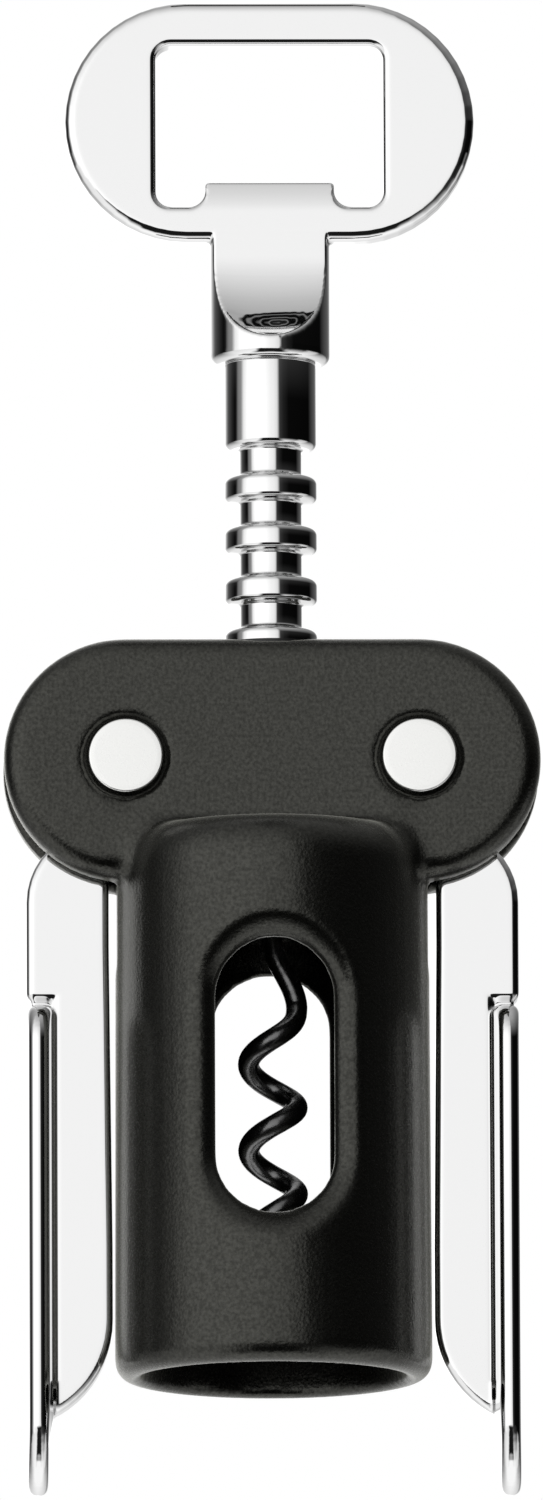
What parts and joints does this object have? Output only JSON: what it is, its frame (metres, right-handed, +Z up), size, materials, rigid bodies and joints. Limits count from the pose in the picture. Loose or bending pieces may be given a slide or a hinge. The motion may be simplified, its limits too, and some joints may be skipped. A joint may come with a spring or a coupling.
{
  "type": "lever corkscrew",
  "caption": "Lever corkscrew with a windowed bell, two palm levers, a ringed rack spindle, a wire worm and a ring handle with a crown-cap opener.",
  "frame": {"origin": "on the spindle's axis, where the straight wall of the bottle neck socket starts, just inside the bell's mouth", "axes": "+Z up along the spindle to the ring handle; the levers lie along X to the left and right; the sight windows face -Y (front) and +Y (rear)"},
  "size_m": [0.0622, 0.0366, 0.1751],
  "materials": {
    "housing_coat": "fine-grained dark grey moulded skin",
    "lever_chrome": "bright chrome plate",
    "spindle_chrome": "bright chrome plate on turned steel",
    "handle_chrome": "bright chrome plate",
    "pin_steel": "satin steel",
    "spring_steel": "oiled dark steel",
    "worm_coat": "black low-friction coating, semi-gloss",
    "bush_nylon": "black nylon"
  },
  "bodies": {
    "housing_frame": {"housing": "housing_coat", "upper_guide_bush": "bush_nylon", "lower_guide_bush": "bush_nylon", "pivot_pin_left": "pin_steel", "pivot_pin_right": "pin_steel", "pivot_cap_left": "pin_steel", "pivot_cap_right": "pin_steel", "thrust_washer_left_front": "bush_nylon", "thrust_washer_left_rear": "bush_nylon", "thrust_washer_right_front": "bush_nylon", "thrust_washer_right_rear": "bush_nylon"},
    "spindle_stop": {"stop_ring": "spring_steel"},
    "spindle": {"rack_spindle": "spindle_chrome", "opener_handle": "handle_chrome", "handle_cross_pin": "pin_steel", "worm": "worm_coat", "worm_cross_pin": "spring_steel"},
    "left_arm": {"lever_left": "lever_chrome", "lever_bush_left": "bush_nylon"},
    "right_arm": {"lever_right": "lever_chrome", "lever_bush_right": "bush_nylon"}
  },
  "joints": [
    {"name": "spindle_slide", "type": "slide", "parent": "housing_frame", "child": "spindle_stop", "axis": [0, 0, -1], "range_m": [0, 0.0325]},
    {"name": "spindle_turn", "type": "hinge", "parent": "spindle_stop", "child": "spindle", "pos_m": [0, 0, 0.0534], "axis": [0, 0, 1], "continuous": true},
    {"name": "left_lever_swing", "type": "hinge", "parent": "housing_frame", "child": "left_arm", "pos_m": [-0.017, 0, 0.0714], "axis": [0, 1, 0], "range_deg": [0, 150.1]},
    {"name": "right_lever_swing", "type": "hinge", "parent": "housing_frame", "child": "right_arm", "pos_m": [0.017, 0, 0.0714], "axis": [0, -1, 0], "range_deg": [0, 150.1]}
  ],
  "couplings": [
    {"joint": "left_lever_swing", "follows": "spindle_slide", "rad_per_m": 80.554},
    {"joint": "right_lever_swing", "follows": "spindle_slide", "rad_per_m": 80.554}
  ]
}
